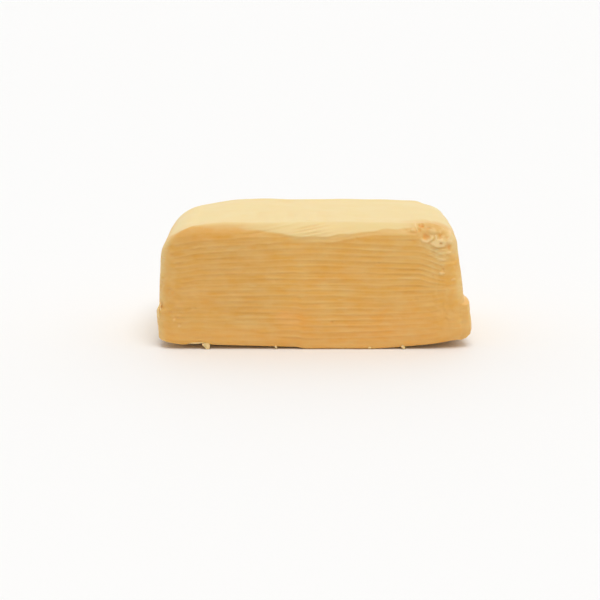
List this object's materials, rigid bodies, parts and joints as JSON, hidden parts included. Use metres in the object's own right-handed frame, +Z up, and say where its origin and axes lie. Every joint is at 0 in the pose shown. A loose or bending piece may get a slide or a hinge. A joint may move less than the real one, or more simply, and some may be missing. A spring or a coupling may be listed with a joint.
{
  "type": "block of butter",
  "caption": "Unwrapped block of butter, one solid piece with soft rounded edges, fine ribs along its long faces and a crushed top corner.",
  "frame": {"origin": "middle of the underside, at the bottom centre of the bounding box", "axes": "+X along the block's length, +Y from the ribbed face with the lip to the far face, +Z up"},
  "size_m": [0.1108, 0.0652, 0.0444],
  "materials": {
    "butter": "soft satin, waxy, slightly translucent"
  },
  "bodies": {
    "root": {"butter_block": "butter"}
  },
  "joints": []
}
